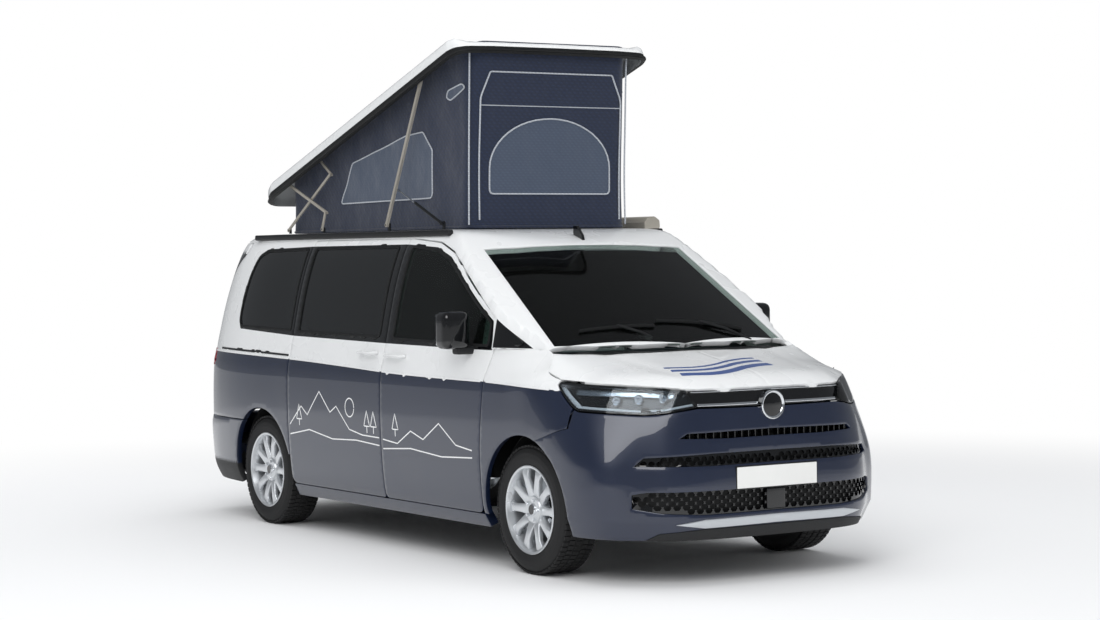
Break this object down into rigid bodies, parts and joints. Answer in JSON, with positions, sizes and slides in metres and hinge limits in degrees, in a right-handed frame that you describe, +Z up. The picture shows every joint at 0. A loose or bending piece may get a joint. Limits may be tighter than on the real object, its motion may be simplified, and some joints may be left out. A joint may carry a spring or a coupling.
{
  "type": "camper van",
  "caption": "Camper van with two-tone body, opening doors, bonnet and tailgate, steerable spoked wheels and a raised pop-up roof with a fabric tent.",
  "frame": {"origin": "on the ground, midway along the body and across the van", "axes": "+X forwards, +Y to the van's left, +Z up"},
  "size_m": [5.173, 2.252, 2.9305],
  "materials": {
    "paint_blue": "gloss metallic",
    "paint_white": "gloss",
    "black_plastic": "grained",
    "gloss_black": "gloss",
    "glass_clear": "green tinted",
    "glass_dark": "dark privacy tint",
    "lamp_clear": "clear lamp lens",
    "lamp_red": "red lamp lens",
    "plate": "satin",
    "alloy": "bright lacquered",
    "tyre": "matt",
    "anodised": "satin anodised",
    "dark_steel": "painted",
    "chrome": "polished",
    "tent_fabric": "woven",
    "seat_fabric": "woven",
    "cabinet": "matt laminate",
    "liner": "matt"
  },
  "bodies": {
    "body": {"roof_frame": "paint_white", "front_bumper": "paint_blue", "rear_bumper": "paint_blue", "front_wings": "paint_blue", "sliding_doors": "paint_blue", "rear_side_panels": "paint_white", "sills": "paint_blue", "floor_pan": "dark_steel", "b_pillars": "black_plastic", "wheel_housings": "liner", "windscreen": "glass_clear", "side_windows": "glass_dark", "headlights": "lamp_clear", "nose_band": "gloss_black", "tail_lights": "lamp_red", "front_plate": "plate", "roof_fin": "paint_white", "roof_rails": "anodised", "awning": "black_plastic", "tent": "tent_fabric", "lift_mounts": "anodised", "dashboard": "black_plastic", "front_seats": "seat_fabric", "rear_seats": "seat_fabric", "kitchen_unit": "cabinet", "engine_block": "dark_steel", "front_axle": "dark_steel", "rear_axle": "dark_steel"},
    "bonnet_body": {"bonnet": "paint_white"},
    "tailgate_body": {"tailgate": "paint_blue", "rear_window": "glass_dark", "rear_plate": "plate"},
    "right_door": {"right_front_door": "paint_blue", "right_door_glass": "glass_clear", "right_mirror": "black_plastic"},
    "left_door": {"left_front_door": "paint_blue", "left_door_glass": "glass_clear", "left_mirror": "black_plastic"},
    "lid": {"roof_lid": "paint_white"},
    "struts": {"main_struts": "anodised"},
    "gas_tubes": {"gas_cylinders": "gloss_black"},
    "gas_pistons": {"gas_rods": "chrome"},
    "long_arms": {"rear_long_arms": "anodised"},
    "cross_arms": {"rear_cross_arms": "anodised"},
    "upper_links": {"rear_upper_links": "anodised"},
    "lower_links": {"rear_lower_links": "anodised"},
    "wheel_of_steering": {"steering_wheel": "black_plastic"},
    "right_hub": {"right_knuckle": "dark_steel"},
    "left_hub": {"left_knuckle": "dark_steel"},
    "front_right_wheel": {"front_right_rim": "alloy", "front_right_tyre": "tyre"},
    "front_left_wheel": {"front_left_rim": "alloy", "front_left_tyre": "tyre"},
    "rear_right_wheel": {"rear_right_rim": "alloy", "rear_right_tyre": "tyre"},
    "rear_left_wheel": {"rear_left_rim": "alloy", "rear_left_tyre": "tyre"}
  },
  "joints": [
    {"name": "roof_lift", "type": "hinge", "parent": "body", "child": "lid", "pos_m": [-2.5625, 0, 1.95], "axis": [0, 1, 0], "range_deg": [0, 18], "deforming": ["tent"]},
    {"name": "strut_fold", "type": "hinge", "parent": "body", "child": "struts", "pos_m": [-0.3855, 0, 1.885], "axis": [0, 1, 0], "range_deg": [0, 63.2]},
    {"name": "gas_tube_swing", "type": "hinge", "parent": "body", "child": "gas_tubes", "pos_m": [0.2265, 0, 1.885], "axis": [0, 1, 0], "range_deg": [-23.2, 0]},
    {"name": "gas_rod_slide", "type": "slide", "parent": "gas_tubes", "child": "gas_pistons", "axis": [0.9246, 0, -0.3808], "range_m": [0, 0.171]},
    {"name": "long_arm_fold", "type": "hinge", "parent": "body", "child": "long_arms", "pos_m": [-1.7455, 0, 1.872], "axis": [0, 1, 0], "range_deg": [0, 30.98]},
    {"name": "lower_link_fold", "type": "hinge", "parent": "body", "child": "lower_links", "pos_m": [-1.2235, 0, 1.872], "axis": [0, 1, 0], "range_deg": [0, 66.19]},
    {"name": "cross_arm_fold", "type": "hinge", "parent": "lid", "child": "cross_arms", "pos_m": [-1.71961, 0, 2.17445], "axis": [0, 1, 0], "range_deg": [-39.03, 0]},
    {"name": "upper_link_fold", "type": "hinge", "parent": "lid", "child": "upper_links", "pos_m": [-1.31819, 0, 2.31435], "axis": [0, 1, 0], "range_deg": [-50.68, 0]},
    {"name": "bonnet_hinge", "type": "hinge", "parent": "body", "child": "bonnet_body", "pos_m": [1.6815, 0, 1.138], "axis": [0, -1, 0], "range_deg": [0, 48]},
    {"name": "tailgate_hinge", "type": "hinge", "parent": "body", "child": "tailgate_body", "pos_m": [-2.3645, 0, 1.804], "axis": [0, 1, 0], "range_deg": [0, 85]},
    {"name": "right_door_hinge", "type": "hinge", "parent": "body", "child": "right_door", "pos_m": [1.2455, -0.9705, 0.8], "axis": [0, 0, 1], "range_deg": [0, 65]},
    {"name": "left_door_hinge", "type": "hinge", "parent": "body", "child": "left_door", "pos_m": [1.2455, 0.9705, 0.8], "axis": [0, 0, -1], "range_deg": [0, 65]},
    {"name": "steer_right", "type": "hinge", "parent": "body", "child": "right_hub", "pos_m": [1.6375, -0.735, 0.345], "axis": [0, 0, 1], "range_deg": [-32, 32]},
    {"name": "steer_left", "type": "hinge", "parent": "body", "child": "left_hub", "pos_m": [1.6375, 0.735, 0.345], "axis": [0, 0, 1], "range_deg": [-33, 33]},
    {"name": "steering_column", "type": "hinge", "parent": "body", "child": "wheel_of_steering", "pos_m": [0.8925, 0.42, 1.12], "axis": [-0.8829, 0, 0.4695], "range_deg": [-520, 520]},
    {"name": "front_right_spin", "type": "hinge", "parent": "right_hub", "child": "front_right_wheel", "pos_m": [1.6375, -0.81, 0.345], "axis": [0, 1, 0], "continuous": true},
    {"name": "front_left_spin", "type": "hinge", "parent": "left_hub", "child": "front_left_wheel", "pos_m": [1.6375, 0.81, 0.345], "axis": [0, 1, 0], "continuous": true},
    {"name": "rear_right_spin", "type": "hinge", "parent": "body", "child": "rear_right_wheel", "pos_m": [-1.4865, -0.81, 0.345], "axis": [0, 1, 0], "continuous": true},
    {"name": "rear_left_spin", "type": "hinge", "parent": "body", "child": "rear_left_wheel", "pos_m": [-1.4865, 0.81, 0.345], "axis": [0, 1, 0], "continuous": true}
  ],
  "couplings": [
    {"joint": "strut_fold", "follows": "roof_lift", "ratio": 3.4556},
    {"joint": "gas_tube_swing", "follows": "roof_lift", "ratio": -1.2333},
    {"joint": "gas_rod_slide", "follows": "roof_lift", "m_per_rad": 0.5316},
    {"joint": "long_arm_fold", "follows": "roof_lift", "ratio": 1.6658},
    {"joint": "lower_link_fold", "follows": "roof_lift", "ratio": 3.6219},
    {"joint": "cross_arm_fold", "follows": "roof_lift", "ratio": -2.1126},
    {"joint": "upper_link_fold", "follows": "roof_lift", "ratio": -2.7602},
    {"joint": "steer_left", "follows": "steer_right", "ratio": 1},
    {"joint": "steering_column", "follows": "steer_right", "ratio": 16}
  ]
}
